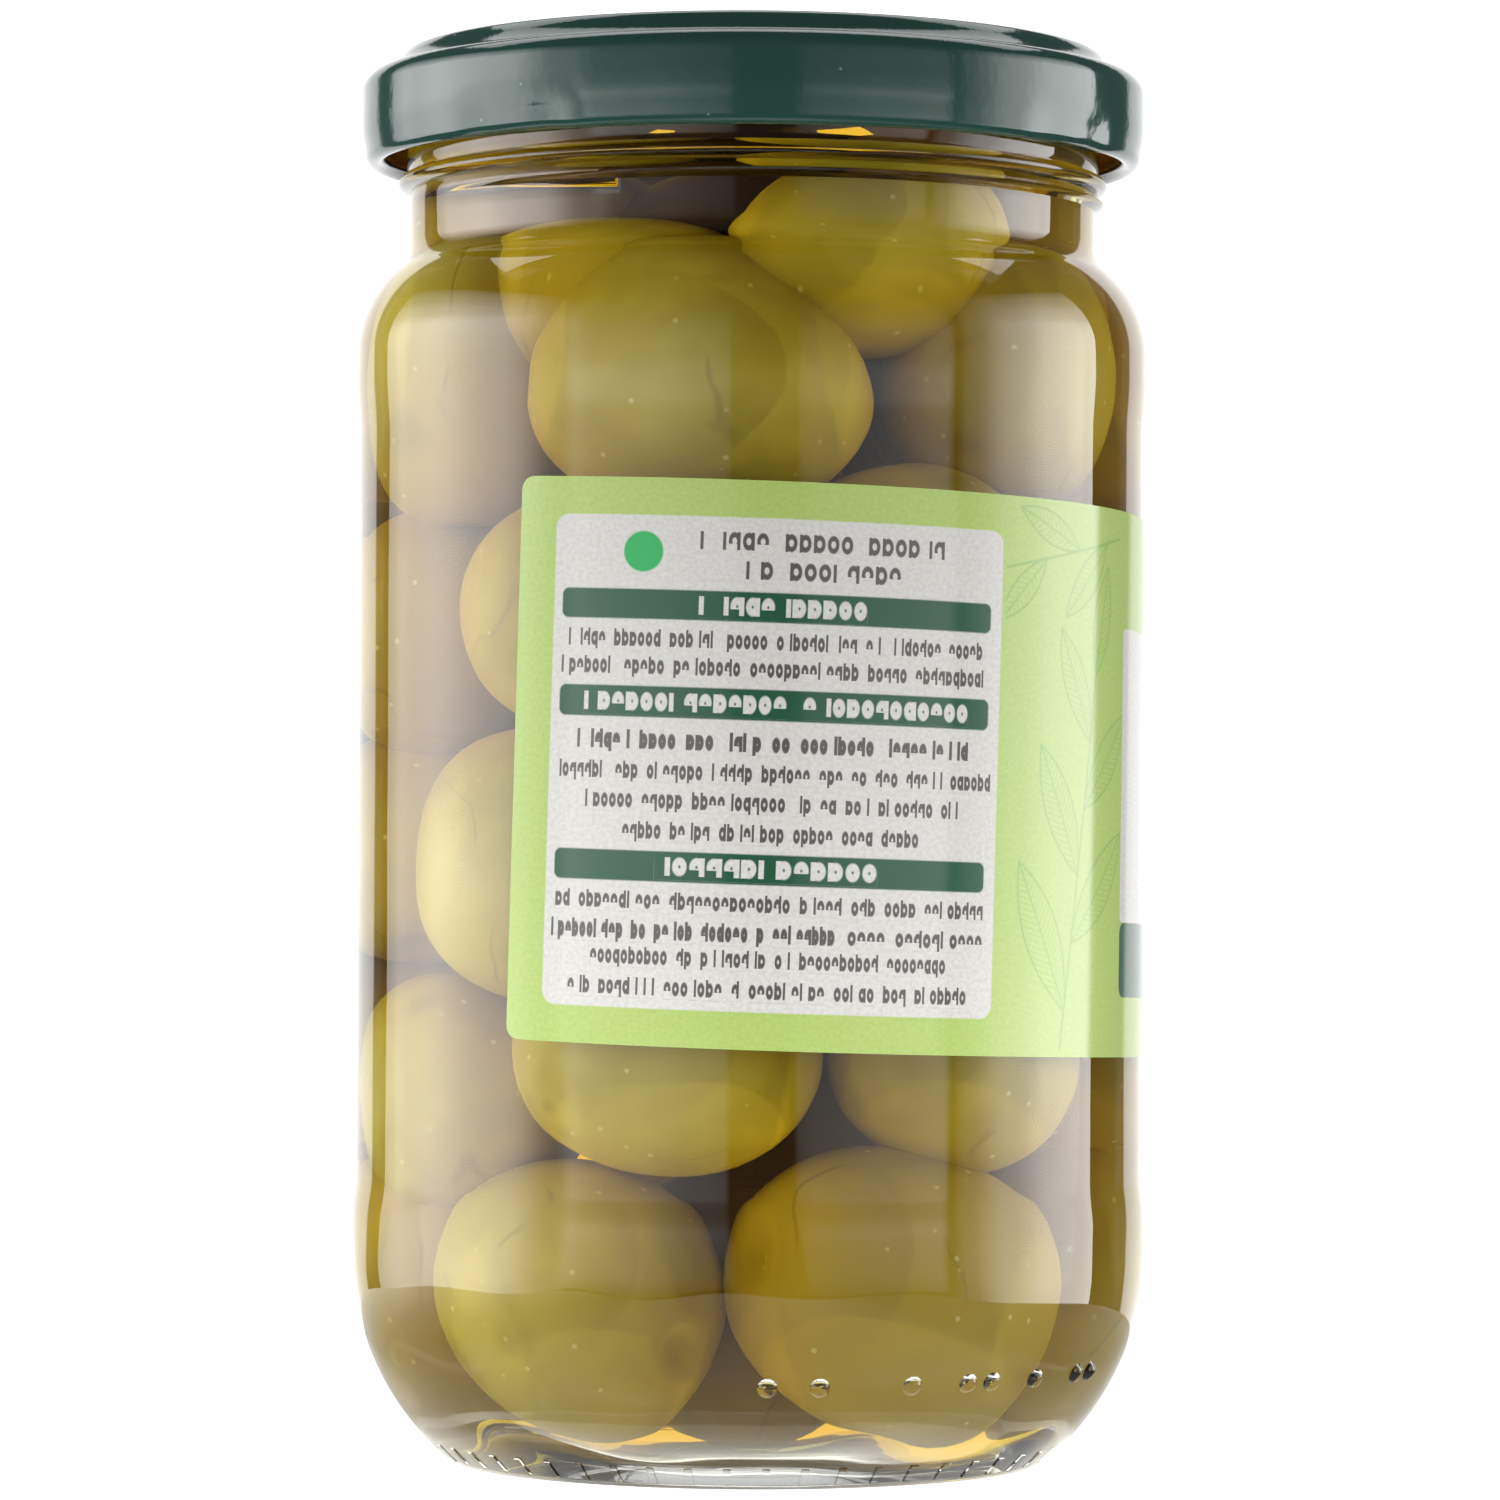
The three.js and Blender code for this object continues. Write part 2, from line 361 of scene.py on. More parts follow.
def makeStudio(values):
    upright = math.radians(90)
    for name, (azimuth, away, width, bottom, height, across, up) in values["lamps"].items():
        lamp = areaLamp(name, width, height, across, up)
        lamp.location = around(azimuth, away / mm, (bottom + height / 2) / mm)
        lamp.rotation_euler = (upright, 0, math.radians(azimuth))
    top, fill = values["top"], values["fill"]
    evenLamp("softboxTop", top["size"], top["bright"], top["place"], (math.radians(top["tilt"]), 0, 0))
    place = around(fill["azimuth"], fill["away"] / mm, fill["middle"] / mm)
    turn = (upright, 0, math.radians(fill["azimuth"]))
    unseen = [evenLamp("fill", fill["size"], fill["bright"], place, turn)]
    for place, size, bright in values["uplights"]:
        unseen.append(evenLamp("uplight", size, bright, place, (math.pi, 0, 0)))
    for lamp in unseen:
        lamp.visible_glossy = False
        lamp.visible_transmission = False
        lamp.visible_camera = False
    world = bpy.data.worlds.new("surround")
    bpy.context.scene.world = world
    world.use_nodes = True
    tree = world.node_tree
    background = tree.nodes['Background']
    direction = shaderNode(tree, 'ShaderNodeTexCoord').outputs['Generated']
    depth = split(tree, direction)[1]
    wall = ramp(tree, depth, values["wallFrom"], values["wallTo"], values["around"], values["behind"])
    seen = isRay(tree, 'Camera')
    strength = maths(tree, 'MAXIMUM', wall, maths(tree, 'MULTIPLY', seen, values["shown"]))
    wire(tree, background.inputs['Strength'], strength)
    background.inputs['Color'].default_value = (1, 1, 1, 1)


def makeTable(values):
    deselectAll()
    bpy.ops.mesh.primitive_circle_add(vertices=160, radius=values["tableRadius"], fill_type='NGON')
    table = bpy.context.object
    table.name = "table"
    material, tree, output = newMaterial("paleTable")
    place = objectPlace(tree)
    cloud = noise(tree, place, 3.0)
    shade = mixColours(tree, cloud, (0.44, 0.44, 0.44, 1), (0.46, 0.46, 0.46, 1))
    away = vectorMaths(tree, 'LENGTH', place)
    under = values["underRadius"]
    parts = split(tree, place)
    middle = ramp(tree, maths(tree, 'ABSOLUTE', parts[0]), values["middleFrom"], values["middleTo"],
                  values["tableGlow"], values["around"])
    glow = ramp(tree, away, under, under * 1.3, values["underGlow"], 0.0)
    glow = maths(tree, 'MAXIMUM', glow, middle)
    shift = values["sideShift"]
    side = ramp(tree, awayFrom(tree, parts[0], shift), values["sideFrom"], values["tableRadius"] + shift,
                0.0, values["sideGlow"])
    glow = maths(tree, 'MAXIMUM', glow, side)
    seen = isRay(tree, 'Camera')
    glow = maths(tree, 'MAXIMUM', glow, maths(tree, 'MULTIPLY', seen, values["tableShown"]))
    opaque(tree, output, Base_Color=shade, Roughness=0.8, Emission_Color=(1, 1, 1, 1),
           Emission_Strength=glow)
    table.data.materials.append(material)


makeStudio(studioSet)
makeTable(studioSet)
print("studio done")

# Glass jar
jarSet = {
    "wall": 2.3, "steps": 270,
    # ribs under the heel: count, height of the band, share of the pitch, how far out and how proud
    "ribs": 54, "ribLow": 0.6, "ribHigh": 2.1, "ribShare": 0.2, "ribFrom": 26.8, "ribOut": 0.12,
    "ringInner": 24.8, "pushUp": 3.0, "floor": 4.4, "floorCentre": 6.2,
    "heelRadius": 24.0, "heelCentre": 11.3, "heelHeight": 18.5, "insideHeel": 14.0,
    "bulge": 35.3, "bulgeTop": 21.5, "panel": 34.95, "panelBottom": 25.2, "panelTop": 91.0,
    "shoulder": 35.2, "shoulderBottom": 95.0, "shoulderCentre": 98.0, "shoulderArc": 10.0,
    "neck": 30.6, "fillet": 3.0, "neckInside": 28.3,
    "threadHeight": 111.7, "threadRise": 0.8, "threadHalf": 0.75, "threadFrom": 109.5,
    "threadLost": 270, "threadFade": 70, "beadRadius": 31.7, "beadHeight": 113.3, "beadHalf": 0.85,
    "finish": 30.9, "rim": 121.8, "rimRound": 1.1,
}
# brine, which reaches just into the glass
brineSet = {"level": 117.5, "into": 0.05, "steps": 180}
# mould marks on the heel, by azimuth
dotSet = {"azimuths": (2.9, 10.5, 24.6, 34.0, 38.4, 47.3, 57.9, 62.2), "height": 9.3, "radius": 0.95,
          "sunk": 0.35}


def neckFillet(jar):
    # centre of the fillet below the neck, and the angle where the shoulder's arc meets it
    filletAt = jar["neck"] + jar["fillet"]
    reach = jar["shoulderArc"] + jar["fillet"]
    meeting = math.acos((filletAt - jar["shoulder"] + jar["shoulderArc"]) / reach)
    return filletAt, jar["shoulderCentre"] + reach * math.sin(meeting), math.degrees(meeting)


def outerProfile(jar):
    start = math.degrees(math.asin(-jar["heelHeight"] / jar["heelRadius"]))
    filletAt, filletHeight, meeting = neckFillet(jar)
    shoulderCentre = jar["shoulder"] - jar["shoulderArc"]
    root = jar["neck"]
    bead, half = jar["beadRadius"], jar["beadHalf"]
    threadBump = [(root + jar["threadRise"] * math.sin(math.pi * i / 6) ** 1.3,
                   jar["threadHeight"] + jar["threadHalf"] * (i / 3 - 1)) for i in range(7)]
    beadBump = [(root + 0.1 + (bead - root - 0.1) * math.sin(math.pi * i / 8) ** 0.8,
                 jar["beadHeight"] + half * (i / 4 - 1)) for i in range(9)]
    top = arc(jar["finish"] - jar["rimRound"], jar["rim"] - jar["rimRound"], jar["rimRound"], 0, 90, 6)
    return (
        [(0, jar["pushUp"]), (8, 2.85), (14, 2.4), (19, 1.6), (22.5, 0.8), (24.0, 0.3),
         (jar["ringInner"], 0.0)]
        + arc(jar["heelCentre"], jar["heelHeight"], jar["heelRadius"], start, 0, 30)
        + [(jar["bulge"], 20.0), (jar["bulge"], jar["bulgeTop"]), (35.24, 22.6), (35.1, 23.8),
           (35.0, 24.6), (jar["panel"], jar["panelBottom"]), (jar["panel"], 45.0), (jar["panel"], 68.0),
           (jar["panel"], jar["panelTop"]), (35.0, 92.2), (35.1, 93.6),
           (jar["shoulder"], jar["shoulderBottom"])]
        + arc(shoulderCentre, jar["shoulderCentre"], jar["shoulderArc"], 0, meeting, 14)
        + arc(filletAt, filletHeight, jar["fillet"], 180 + meeting, 180, 10)[1:]
        + [(root, jar["threadFrom"])] + threadBump + beadBump
        + [(jar["finish"], jar["beadHeight"] + half + 0.5), (jar["finish"], 117.5)] + top
    )


def innerProfile(jar, grow=0.0):
    # from the rim down to the glass floor; grow pushes it into the wall
    wall = jar["wall"] - grow
    filletAt, filletHeight, meeting = neckFillet(jar)
    shoulderCentre = jar["shoulder"] - jar["shoulderArc"]
    insideCentre = jar["panel"] - jar["wall"] - jar["insideHeel"]
    heel = arc(insideCentre, jar["floor"] + jar["insideHeel"], jar["insideHeel"] + grow, 0, -90, 20)
    bottom = [(12.0, jar["floor"] + 0.9 - grow), (6.0, jar["floorCentre"] - 0.35 - grow)]
    return (
        arc(filletAt, filletHeight, jar["fillet"] + wall, 180, 180 + meeting, 10)
        + arc(shoulderCentre, jar["shoulderCentre"], jar["shoulderArc"] - wall, meeting, 0, 12)[1:]
        + [(jar["panel"] - wall, jar["panelTop"]), (jar["panel"] - wall, 60.0), (jar["panel"] - wall, 35.0)]
        + heel + bottom + [(0, jar["floorCentre"] - grow)]
    )


def buildGlass(jar, dots):
    top = arc(jar["neckInside"] + jar["rimRound"], jar["rim"] - jar["rimRound"], jar["rimRound"],
              90, 180, 6)
    profile = outerProfile(jar) + top + [(jar["neckInside"], 115.0)] + innerProfile(jar)
    piece = spunPiece("glassJar", profile, jar["steps"])
    # the lower thread fades out on the left
    editMode(False)
    for vertex in piece.data.vertices:
        radius = math.hypot(vertex.co.x, vertex.co.y)
        if abs(vertex.co.z / mm - jar["threadHeight"]) < 0.8 and radius > 30 * mm:
            fade = min(1, apart(azimuthOf(vertex.co), jar["threadLost"]) / jar["threadFade"]) ** 2
            drawIn(vertex, (jar["neck"] * mm + (radius - jar["neck"] * mm) * fade) / radius)
    # small upright ribs on the lower heel
    pitch = 360 / jar["ribs"]

    def onRib(middle):
        radius = math.hypot(middle.x, middle.y) / mm
        phase = (azimuthOf(middle) + 0.1) % pitch / pitch
        inBand = jar["ribLow"] < middle.z / mm < jar["ribHigh"] and radius > jar["ribFrom"]
        return inBand and abs(phase - 0.5) < jar["ribShare"] / 2
    selectFaces(piece, onRib)
    bpy.ops.mesh.extrude_region_shrink_fatten(TRANSFORM_OT_shrink_fatten={"value": jar["ribOut"] * mm})
    editMode(False)
    # round mould marks
    beads = []
    for azimuth in dots["azimuths"]:
        drop = jar["heelHeight"] - dots["height"]
        radius = jar["heelCentre"] + math.sqrt(jar["heelRadius"] ** 2 - drop ** 2)
        place = around(azimuth, radius - dots["sunk"], dots["height"])
        beads.append(ball(20, 12, dots["radius"] * mm, place))
    cluster = joined("marks", beads)
    bpy.ops.object.transform_apply()
    union = piece.modifiers.new("marks", 'BOOLEAN')
    union.operation = 'UNION'
    union.solver = 'EXACT'
    union.object = cluster
    applyAll(piece)
    bpy.data.objects.remove(cluster)
    smooth(piece, 50)
    return piece


def glassMaterials():
    # the second is for the inner face, wet with brine, which barely reflects
    made = []
    for name, gloss in (("clearGlass", 1.0), ("wetGlass", 0.06)):
        material, tree, output = newMaterial(name)
        place = objectPlace(tree)
        waves = noise(tree, place, 42.0, 1.0)
        # the glass is waviest where it turns in to the heel
        depth = split(tree, place)[2]
        wavy = ramp(tree, depth, 0.012, 0.026, 0.6, 0.025)
        bump = bumped(tree, wavy, 0.004, waves)
        seeThrough(tree, output, (0.97, 0.98, 0.97, 1), Base_Color=(0.978, 0.995, 0.978, 1), IOR=1.5,
                   Specular_Tint=(gloss, gloss, gloss, 1), Normal=bump)
        made.append(material)
    return made


def buildBrine(brine, jar):
    profile = [(0, brine["level"]), (14, brine["level"]), (jar["neckInside"] - 0.4, brine["level"]),
               (jar["neckInside"] + brine["into"], brine["level"] + 0.3)] + innerProfile(jar, brine["into"])
    piece = spunPiece("brine", profile, brine["steps"])
    smooth(piece, 60)
    return piece


def brineMaterial():
    material, tree, output = newMaterial("brineLiquid")
    place = objectPlace(tree)
    haze = noise(tree, place, 60.0, 2.0)
    tint = mixColours(tree, haze, (0.96, 0.94, 0.84, 1), (1.0, 0.99, 0.92, 1))
    seeThrough(tree, output, (0.99, 0.98, 0.93, 1), Base_Color=tint, IOR=1.34,
               Specular_Tint=(0.06, 0.06, 0.06, 1))
    soak = shaderNode(tree, 'ShaderNodeVolumeAbsorption', Color=(0.944, 0.856, 0.03, 1), Density=125.0)
    wire(tree, output.inputs['Volume'], soak.outputs[0])
    return material


glassJar = buildGlass(jarSet, dotSet)
for material in glassMaterials():
    glassJar.data.materials.append(material)
for face in glassJar.data.polygons:
    inward = outward(face) < -0.2 * face.center.xy.length
    floor = face.normal.z > 0.5 and face.center.z < 20 * mm
    face.material_index = int((inward or floor) and face.center.z < brineSet["level"] * mm)
finishPiece(glassJar, "clear_glass", "glass_jar")
brine = buildBrine(brineSet, jarSet)
brine.data.materials.append(brineMaterial())
finishPiece(brine, "clear_glass")
print("glass and brine done")

# Olives: azimuth, height of the middle, length, width, lean of the long axis from level
shownOlives = (
    (-41, 15.6, 23.6, 22.4, 20), (35, 16.9, 28, 23.4, -12), (-76, 32.4, 22, 20.5, 60),
    (-17.8, 36.8, 25, 21.6, -8), (46.5, 36.4, 21.4, 20, 35), (-48, 52.8, 24.2, 22.6, 80),
    (-33, 74.7, 23.4, 20.6, 10), (32, 77.2, 23, 20.6, -15), (-72, 94.1, 24.4, 20.8, 88),
    (-11.2, 93, 28, 20.8, -8), (61, 94.6, 21.4, 20.2, 70), (-43, 100.5, 21, 16.5, 0),
    (29.5, 105.6, 23.6, 18.4, -14),
)
# the twelfth lies deeper in, behind its neighbours
deeper = {11: 4.5}
# the rest of each course, round the back: height, first and last azimuth, count
courses = (
    (16, 107, 248, 3), (35.5, 109, 226, 3), (54.5, 14, 256, 5), (75, 94, 268, 4), (94.5, 123, 228, 3),
    (106.5, 112, 228, 2),
)
usualOlive = {"long": 22.6, "wide": 20.6, "spread": 1.2, "rise": 1.6, "lean": 80, "gap": 0.7}


def uneven(seed):
    wave = math.sin(seed * 12.9898) * 43758.5453
    return 2 * (wave - math.floor(wave)) - 1


def allOlives():
    olives = list(shownOlives)
    for height, start, end, count in courses:
        for i in range(count):
            seed = len(olives)
            olives.append((
                start + (end - start) * i / (count - 1),
                height + usualOlive["rise"] * uneven(seed),
                usualOlive["long"] + usualOlive["spread"] * uneven(seed + 40),
                usualOlive["wide"] + usualOlive["spread"] * 0.6 * uneven(seed + 80),
                usualOlive["lean"] * uneven(seed + 120)))
    return olives


def insideRadius(height, jar):
    heelTop = jar["floor"] + jar["insideHeel"]
    if height < heelTop:
        drop = min(heelTop - height, jar["insideHeel"])
        wide = math.sqrt(jar["insideHeel"] ** 2 - drop ** 2)
        return jar["panel"] - jar["wall"] - jar["insideHeel"] + wide
    if height < jar["shoulderCentre"]:
        return jar["panel"] - jar["wall"]
    inner = jar["shoulderArc"] - jar["wall"]
    climb = min(height - jar["shoulderCentre"], inner)
    return max(jar["shoulder"] - jar["shoulderArc"] + math.sqrt(inner ** 2 - climb ** 2), jar["neckInside"])


# one olive, of unit size: narrower to one end, fuller near both, with a stem dimple and a blunt tip;
# the lumps are in millimetres, on the placed olive
oliveShape = {
    "segments": 40, "rings": 26, "taper": 0.07, "full": 0.22, "dimple": 0.05, "dimpleWide": 0.07,
    "tip": 0.004, "tipWide": 0.05, "lumpSize": 11, "lumps": 0.8,
}
# olives deeper in the heap: azimuth, distance from the axis and height of each
coreSet = {
    "radius": 10.5, "long": 1.05, "spread": 0.08,
    "places": ((0, 4.5, 16), (70, 4.5, 33), (140, 4.5, 51), (210, 4.5, 69), (280, 4.5, 86), (183, 8, 104.5)),
}


def modelOlive(form):
    # its long axis lies along X
    olive = ball(form["segments"], form["rings"], 0.5, (0, 0, 0))
    olive.name = olive.data.name = "oliveShape"
    editMode()
    bpy.ops.mesh.select_all(action='SELECT')
    bpy.ops.transform.rotate(value=math.pi / 2, orient_axis='Y', center_override=(0, 0, 0))
    editMode(False)
    for vertex in olive.data.vertices:
        x = vertex.co.x
        taper = 1 - form["taper"] * x + form["full"] * x * x
        vertex.co.y *= taper
        vertex.co.z *= taper
        ring = math.hypot(vertex.co.y, vertex.co.z)
        if x < 0:
            vertex.co.x += form["dimple"] * math.exp(-(ring / form["dimpleWide"]) ** 2)
        else:
            vertex.co.x += form["tip"] * math.exp(-(ring / form["tipWide"]) ** 2)
    return olive


def buildOlives(jar, form):
    shape = modelOlive(form)
    lumps = bpy.data.textures.new("lumps", 'CLOUDS')
    lumps.noise_scale = form["lumpSize"] * mm
    lumps.noise_depth = 1
    pieces = []
    for number, (azimuth, height, long, wide, lean) in enumerate(allOlives()):
        tilt = math.radians(lean)
        reachDown = math.hypot(long / 2 * math.sin(tilt), wide / 2 * math.cos(tilt))
        middle = max(height, jar["floor"] + usualOlive["gap"] + reachDown)
        pick(shape)
        bpy.ops.object.duplicate(linked=False)
        olive = bpy.context.object
        olive.scale = (long * mm, wide * mm * (1 + 0.03 * uneven(number + 7)), wide * mm)
        flip = 180 if uneven(number + 200) > 0 else 0
        olive.rotation_euler = (math.radians(90 * uneven(number + 300)), 0, 0)
        bpy.ops.object.transform_apply(location=False, scale=False)
        bpy.ops.object.transform_apply(location=False, rotation=False)
        olive.rotation_euler = (0, -tilt, math.radians(flip))
        bpy.ops.object.transform_apply(location=False, scale=False)
        distance = min(
            math.sqrt((insideRadius(middle + v.co.z / mm, jar) - usualOlive["gap"]) ** 2
                      - (v.co.x / mm) ** 2)
            + v.co.y / mm for v in olive.data.vertices)
        olive.location = around(azimuth, distance - deeper.get(number, 0), middle)
        olive.rotation_euler = (0, 0, math.radians(azimuth))
        bpy.ops.object.transform_apply(scale=False)
        bulge = olive.modifiers.new("lumps", 'DISPLACE')
        bulge.texture = lumps
        bulge.texture_coords = 'GLOBAL'
        bulge.strength = form["lumps"] * mm
        bulge.mid_level = 0.75
        applyAll(olive)
        pieces.append(olive)
    heap = joined("olives", pieces)
    bpy.data.objects.remove(shape)
    smooth(heap, 180)
    return heap


def oliveMaterial(name, shaded=0.0):
    material, tree, output = newMaterial(name)
    place = objectPlace(tree)
    patches = noise(tree, place, 55.0, 3.0, 0.55)
    broad = noise(tree, place, 24.0, 1.0)
    green = mixColours(tree, ramp(tree, patches, 0.35, 0.68), colour(190, 172, 66), colour(224, 205, 112))
    skin = mixColours(tree, ramp(tree, broad, 0.4, 0.65), green, colour(190, 162, 58))
    # pale specks, scattered unevenly
    cells = shaderNode(tree, 'ShaderNodeTexVoronoi', Vector=place, Scale=520.0)
    lot = shaderNode(tree, 'ShaderNodeSeparateColor', Color=cells.outputs['Color']).outputs[0]
    speck = maths(tree, 'MULTIPLY', ramp(tree, cells.outputs['Distance'], 0.06, 0.18, 1.0, 0.0),
                  maths(tree, 'GREATER_THAN', lot, 0.72))
    skin = mixColours(tree, maths(tree, 'MULTIPLY', speck, 0.65), skin, colour(244, 236, 186))
    # darker wrinkle lines and bruises
    drift = shaderNode(tree, 'ShaderNodeTexNoise', Vector=place, Scale=90.0).outputs['Color']
    bend = vectorMaths(tree, 'MULTIPLY_ADD', drift, (0.006, 0.006, 0.006), place)
    wrinkle = noise(tree, bend, 70.0, 0.0)
    line = ramp(tree, awayFrom(tree, wrinkle, 0.5), 0.0, 0.012, 1.0, 0.0)
    line = maths(tree, 'MULTIPLY', line, ramp(tree, noise(tree, place, 130.0, 1.0), 0.5, 0.62))
    skin = mixColours(tree, maths(tree, 'MULTIPLY', line, 0.35), skin, colour(140, 112, 40))
    bruise = ramp(tree, noise(tree, place, 62.0, 2.0), 0.66, 0.76)
    skin = mixColours(tree, maths(tree, 'MULTIPLY', bruise, 0.45), skin, colour(150, 130, 50))
    # painted shade: olives deep in the heap are darkened towards a dark brown, more so above the lowest row
    height = split(tree, place)[2]
    shade = maths(tree, 'MULTIPLY', ramp(tree, height, 0.024, 0.045), shaded)
    skin = mixColours(tree, shade, skin, colour(70, 56, 30))
    fine = maths(tree, 'MULTIPLY_ADD', line, -0.6, noise(tree, place, 260.0, 3.0))
    bump = bumped(tree, 0.22, 0.0004, fine)
    surface = opaque(tree, output, Base_Color=skin, Roughness=0.4, IOR=1.4, Normal=bump,
                     Specular_IOR_Level=0.2, Subsurface_Weight=0.0 if shaded else 0.4,
                     Subsurface_Radius=(1.0, 0.75, 0.25), Subsurface_Scale=0.003)
    surface.subsurface_method = 'BURLEY'
    return material


def buildCore(heap):
    pieces = []
    for number, place in enumerate(heap["places"]):
        middle = ball(36, 22, heap["radius"] * mm, around(*place))
        middle.scale = (1.0, heap["long"] + heap["spread"] * uneven(number), 1.0)
        middle.rotation_euler = (0.4 * uneven(number + 3), 0.3, number)
        bpy.ops.object.transform_apply()
        pieces.append(middle)
    core = joined("heapCore", pieces)
    smooth(core, 180)
    return core


olives = buildOlives(jarSet, oliveShape)
olives.data.materials.append(oliveMaterial("oliveSkin"))
finishPiece(olives, "olive_skin", "olives")
heapCore = buildCore(coreSet)
# the deeper olives get painted shade, as strong as the second argument
heapCore.data.materials.append(oliveMaterial("shadedDeepOliveSkin", 0.75))
finishPiece(heapCore, "olive_skin")
print("olives done")

# Lid
lidSet = {
    "radius": 34.95, "cornerRadius": 1.6, "cornerHeight": 121.4, "steel": 0.6, "ringRadius": 30.6,
    "ringTop": 124.95, "panelTop": 123.8, "buttonRadius": 14.0, "buttonTop": 124.2, "linerInner": 27.4,
    "linerOuter": 32.4, "linerBottom": 122.0, "curlRadius": 0.9, "curlAt": 33.7, "curlHeight": 115.85,
    "lugs": 4, "firstLug": -36.0, "lugHalf": 12.0, "lugFade": 7.0, "lugReach": 0.7, "steps": 256,
    # the skirt at the lugs: how far it is pressed in and lifted, below what height and over what height
    "press": 0.35, "lift": 0.15, "pressBelow": 119.2, "pressOver": 3.0,
    # gold lacquer: the panel's underside, and the inner side of the skirt between two heights
    "goldPanel": 28.5, "goldTop": 123.5, "goldSkirt": 34.6, "goldLow": 115.9, "goldHigh": 122.6,
}


def buildLid(lid):
    inside = lid["radius"] - lid["steel"]
    curlTop = lid["curlHeight"] + lid["curlRadius"]
    ring, top, panel = lid["ringRadius"], lid["ringTop"], lid["panelTop"]
    button, buttonTop = lid["buttonRadius"], lid["buttonTop"]
    profile = (
        [(0, panel - lid["steel"]), (lid["linerInner"], panel - lid["steel"]),
         (lid["linerInner"], lid["linerBottom"]), (lid["linerOuter"], lid["linerBottom"]),
         (inside, lid["cornerHeight"]), (inside, curlTop + 0.4)]
        + arc(lid["curlAt"], lid["curlHeight"], lid["curlRadius"], 150, 360, 16)
        + [(lid["curlAt"] + lid["curlRadius"] + 0.08, lid["curlHeight"] + 0.6),
           (lid["radius"] - 0.16, curlTop + 0.2), (lid["radius"] - 0.05, curlTop + 0.9),
           (lid["radius"], curlTop + 1.8), (lid["radius"], 119.6), (lid["radius"], lid["cornerHeight"] - 0.4)]
        + arc(lid["radius"] - lid["cornerRadius"], lid["cornerHeight"], lid["cornerRadius"], 0, 90, 10)
        + [(ring + 2.1, 123.05), (ring + 1.6, 123.3), (ring + 1.1, 124.1), (ring + 0.75, 124.65),
           (ring + 0.35, top - 0.06), (ring, top), (ring - 0.45, top - 0.08), (ring - 1.0, top - 0.35),
           (ring - 1.7, panel + 0.25), (ring - 2.3, panel + 0.03), (ring - 3.0, panel), (20.0, panel),
           (button + 1.0, panel), (button + 0.5, panel + 0.08), (button - 0.5, buttonTop - 0.08),
           (button - 1.0, buttonTop), (6.0, buttonTop), (0, buttonTop)]
    )
    piece = spunPiece("lid", profile, lid["steps"])
    places = [lid["firstLug"] + 360 / lid["lugs"] * i for i in range(lid["lugs"])]
    for vertex in piece.data.vertices:
        radius = math.hypot(vertex.co.x, vertex.co.y)
        nearest = min(apart(azimuthOf(vertex.co), place) for place in places)
        strength = max(0, min(1, (lid["lugHalf"] - nearest) / lid["lugFade"]))
        strength = strength * strength * (3 - 2 * strength)
        if radius > (lid["curlAt"] - 0.1) * mm:
            lower = max(0, min(1, (lid["pressBelow"] - vertex.co.z / mm) / lid["pressOver"]))
            drawIn(vertex, 1 - lid["press"] * mm * strength * lower * lower * (3 - 2 * lower) / radius)
            vertex.co.z += lid["lift"] * mm * strength * lower
        if vertex.co.z > curlTop * mm:
            continue
        if radius < (lid["curlAt"] - 0.1) * mm:
            drawIn(vertex, 1 - lid["lugReach"] * mm * strength / radius)
    smooth(piece, 40)
    return piece


def lidMaterials():
    material, tree, output = newMaterial("lidLacquer")
    place = objectPlace(tree)
    peel = noise(tree, place, 900.0, 2.0)
    cloud = noise(tree, place, 40.0, 2.0)
    green = mixColours(tree, cloud, colour(23, 50, 45), colour(28, 58, 51))
    dust = shaderNode(tree, 'ShaderNodeTexVoronoi', Vector=place, Scale=260.0).outputs['Distance']
    green = mixColours(tree, ramp(tree, dust, 0.02, 0.05, 0.5, 0.0), green, colour(120, 140, 134))
    bump = bumped(tree, 0.08, 0.0002, peel)
    opaque(tree, output, Base_Color=green, Roughness=0.1, IOR=1.5, Normal=bump)
    gold, tree, output = newMaterial("goldLacquer")
    place = objectPlace(tree)
    brushed = noise(tree, place, 300.0, 3.0)
    tone = mixColours(tree, brushed, colour(168, 124, 40), colour(188, 146, 60))
    opaque(tree, output, Base_Color=tone, Roughness=0.3, Metallic=0.9)
    return material, gold


lid = buildLid(lidSet)
lacquer, gold = lidMaterials()
lid.data.materials.append(lacquer)
lid.data.materials.append(gold)
for face in lid.data.polygons:
    radius, height = math.hypot(face.center.x, face.center.y) / mm, face.center.z / mm
    inward = outward(face) < 0
    panel = height < lidSet["goldTop"] and radius < lidSet["goldPanel"]
    skirt = inward and lidSet["goldLow"] < height < lidSet["goldHigh"] and radius < lidSet["goldSkirt"]
    face.material_index = int(panel or skirt)
finishPiece(lid, "lid_lacquer", "lid")
print("lid done")

# Label: a paper strip wrapped round the jar, a little askew
labelSet = {
    "inner": 35.0, "outer": 35.13, "bottom": 37.5, "height": 47.5, "startAt": -34.5, "wrap": 292.0,
    "slope": -0.03, "steps": 240, "rows": 24, "corner": 1.2,
}


